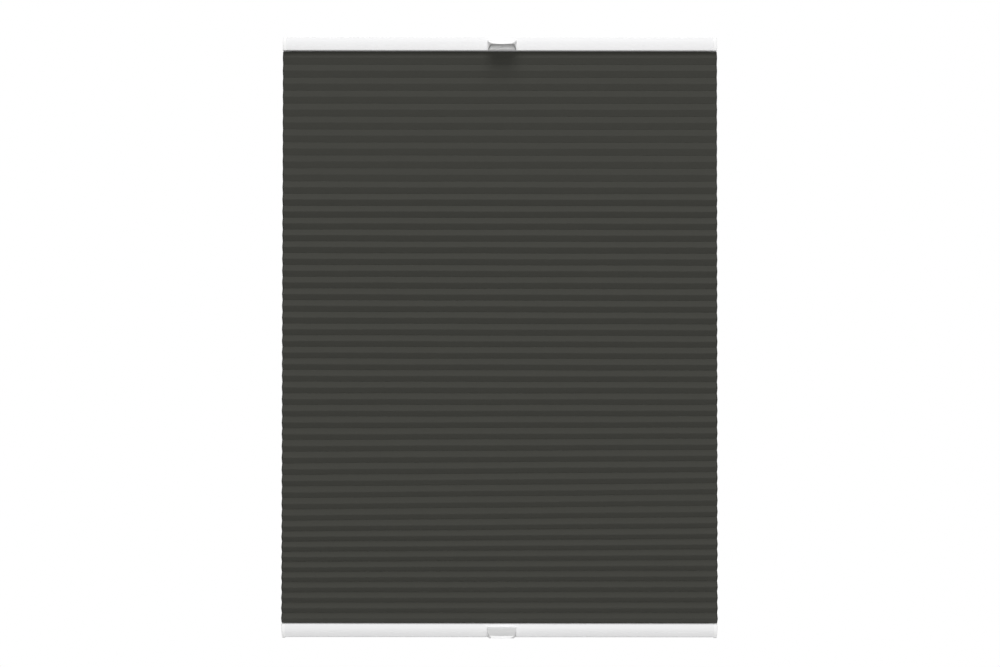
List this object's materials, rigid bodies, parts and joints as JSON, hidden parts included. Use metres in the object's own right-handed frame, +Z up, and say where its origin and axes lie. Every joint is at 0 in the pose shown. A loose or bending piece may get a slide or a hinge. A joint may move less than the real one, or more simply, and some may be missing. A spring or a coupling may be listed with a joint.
{
  "type": "pleated blind",
  "caption": "Honeycomb pleated blind: white top and bottom rails, each with a pull handle, and dark cellular cloth that folds flat as the bottom rail slides up.",
  "frame": {"origin": "middle of the top rail's flat top face, where the blind is held against the top of a window", "axes": "+X along the rails to the right as seen from the room, +Y towards the window, +Z up; the handles are on the -Y side"},
  "size_m": [0.6, 0.0494, 0.827],
  "materials": {
    "rail_powder_coat": "satin",
    "white_moulding": "satin",
    "cell_cloth": "matte",
    "strip_plastic": "matte",
    "guide_plastic": "satin",
    "spring_steel": "polished"
  },
  "bodies": {
    "top_rail_group": {"top_rail": "rail_powder_coat", "top_cap_left": "white_moulding", "top_cap_right": "white_moulding", "top_handle": "white_moulding", "top_strip": "strip_plastic", "top_cord_guide_left": "guide_plastic", "top_cord_guide_right": "guide_plastic", "top_guide_pin_left": "spring_steel", "top_guide_pin_right": "spring_steel", "tension_spring": "spring_steel", "honeycomb_fabric": "cell_cloth"},
    "bottom_rail_group": {"bottom_rail": "rail_powder_coat", "bottom_cap_left": "white_moulding", "bottom_cap_right": "white_moulding", "bottom_handle": "white_moulding", "bottom_strip": "strip_plastic", "bottom_cord_guide_left": "guide_plastic", "bottom_cord_guide_right": "guide_plastic", "bottom_guide_pin_left": "spring_steel", "bottom_guide_pin_right": "spring_steel"}
  },
  "joints": [
    {"name": "bottom_rail_slide", "type": "slide", "parent": "top_rail_group", "child": "bottom_rail_group", "axis": [0, 0, 1], "range_m": [0, 0.728], "deforming": ["honeycomb_fabric"]}
  ]
}
